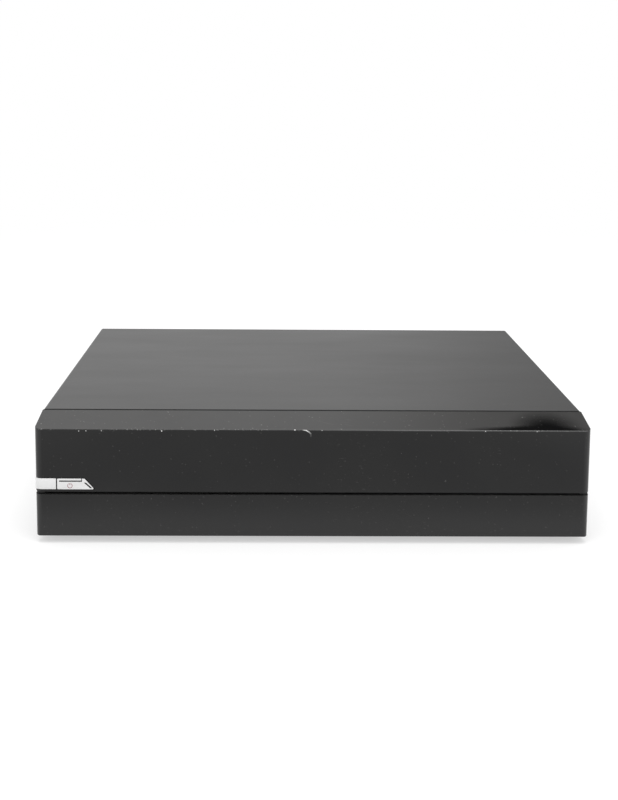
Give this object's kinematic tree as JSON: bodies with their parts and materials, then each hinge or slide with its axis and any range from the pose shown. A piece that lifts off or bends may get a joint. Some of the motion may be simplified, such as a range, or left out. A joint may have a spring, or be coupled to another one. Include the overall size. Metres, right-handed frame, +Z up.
{
  "type": "television decoder box",
  "caption": "Low black set-top box with a raked front, a silver standby button, a drop-down flap over keys and slots, and rear sockets with a mains switch.",
  "frame": {"origin": "Centre of the bounding box in plan, at the level of the feet's undersides.", "axes": "+X to the right across the front, +Y from the front to the back, +Z up."},
  "size_m": [0.3025, 0.2551, 0.0684],
  "materials": {
    "front_gloss": "black moulding polished on its outer faces",
    "inner_black": "fine-grained black moulding",
    "silver": "silver-painted moulding",
    "cover_paint": "satin black paint on steel sheet",
    "screw_black": "blackened steel",
    "pan_steel": "bare galvanised sheet",
    "tin": "tin-plated metal",
    "foot_rubber": "soft black rubber",
    "board_green": "green lacquered laminate",
    "board_brown": "brown paper laminate",
    "chip_black": "black moulding compound",
    "sink_metal": "extruded metal",
    "key_grey": "dark grey moulding",
    "pale_nylon": "pale nylon",
    "display_glass": "dark display window",
    "lamp_red": "tinted clear resin",
    "phono_colour": "coloured moulding",
    "winding_tape": "taped winding on a ferrite core",
    "sleeve_blue": "shrink sleeve on a can",
    "fuse_glass": "glass tube with metal caps",
    "pin_brass": "plated brass",
    "ribbon_grey": "flat grey ribbon",
    "wire_red": "bundled insulated wires"
  },
  "bodies": {
    "case": {"fascia_panel": "front_gloss", "bezel_frame": "inner_black", "flap_pins": "tin", "push_latch": "inner_black", "end_trim": "silver", "power_switch": "chip_black", "front_board": "board_green", "display_module": "display_glass", "ir_receiver": "chip_black", "standby_led": "lamp_red", "key_board": "board_green", "key_switches": "chip_black", "chassis_pan": "pan_steel", "rear_panel": "cover_paint", "top_cover": "cover_paint", "cover_screws": "screw_black", "feet": "foot_rubber", "main_board": "board_green", "board_screws": "tin", "processor": "chip_black", "heat_sink": "sink_metal", "memory_chips": "chip_black", "tuner_module": "tin", "aerial_shells": "tin", "aerial_insulators": "pale_nylon", "module_cage": "tin", "card_reader": "inner_black", "front_data_socket": "tin", "rear_data_socket": "tin", "socket_tongues": "inner_black", "video_socket": "tin", "network_jack": "tin", "phono_block": "inner_black", "phono_sleeves": "tin", "phono_inserts": "phono_colour", "av_sockets": "inner_black", "supply_board": "board_brown", "transformer": "winding_tape", "bulk_capacitor": "sleeve_blue", "supply_heat_sink": "sink_metal", "line_filter": "winding_tape", "fuse": "fuse_glass", "mains_inlet": "inner_black", "inlet_pins": "pin_brass", "switch_housing": "inner_black", "ribbon_cable": "ribbon_grey", "supply_harness": "wire_red", "cable_sockets": "pale_nylon"},
    "flap": {"front_flap": "front_gloss"},
    "standby_button": {"power_button": "silver", "switch_plunger": "chip_black"},
    "mains_rocker": {"switch_rocker": "inner_black"},
    "key_menu_body": {"key_menu": "key_grey"},
    "key_ok_body": {"key_ok": "key_grey"},
    "key_volume_down_body": {"key_volume_down": "key_grey"},
    "key_volume_up_body": {"key_volume_up": "key_grey"},
    "key_channel_down_body": {"key_channel_down": "key_grey"},
    "key_channel_up_body": {"key_channel_up": "key_grey"}
  },
  "joints": [
    {"name": "flap_hinge", "type": "hinge", "parent": "case", "child": "flap", "pos_m": [0, -0.12109, 0.0086], "axis": [1, 0, 0], "range_deg": [0, 90]},
    {"name": "standby_press", "type": "slide", "parent": "case", "child": "standby_button", "axis": [0, 0.9945, -0.1045], "range_m": [0, 0.0008], "stiffness_N_per_m": 2500},
    {"name": "mains_rock", "type": "hinge", "parent": "case", "child": "mains_rocker", "pos_m": [-0.0931, 0.1146, 0.025], "axis": [-1, 0, 0], "range_deg": [0, 16]},
    {"name": "key_menu_press", "type": "slide", "parent": "case", "child": "key_menu_body", "axis": [0, 1, 0], "range_m": [0, 0.0005], "stiffness_N_per_m": 3000},
    {"name": "key_ok_press", "type": "slide", "parent": "case", "child": "key_ok_body", "axis": [0, 1, 0], "range_m": [0, 0.0005], "stiffness_N_per_m": 3000},
    {"name": "key_volume_down_press", "type": "slide", "parent": "case", "child": "key_volume_down_body", "axis": [0, 1, 0], "range_m": [0, 0.0005], "stiffness_N_per_m": 3000},
    {"name": "key_volume_up_press", "type": "slide", "parent": "case", "child": "key_volume_up_body", "axis": [0, 1, 0], "range_m": [0, 0.0005], "stiffness_N_per_m": 3000},
    {"name": "key_channel_down_press", "type": "slide", "parent": "case", "child": "key_channel_down_body", "axis": [0, 1, 0], "range_m": [0, 0.0005], "stiffness_N_per_m": 3000},
    {"name": "key_channel_up_press", "type": "slide", "parent": "case", "child": "key_channel_up_body", "axis": [0, 1, 0], "range_m": [0, 0.0005], "stiffness_N_per_m": 3000}
  ]
}
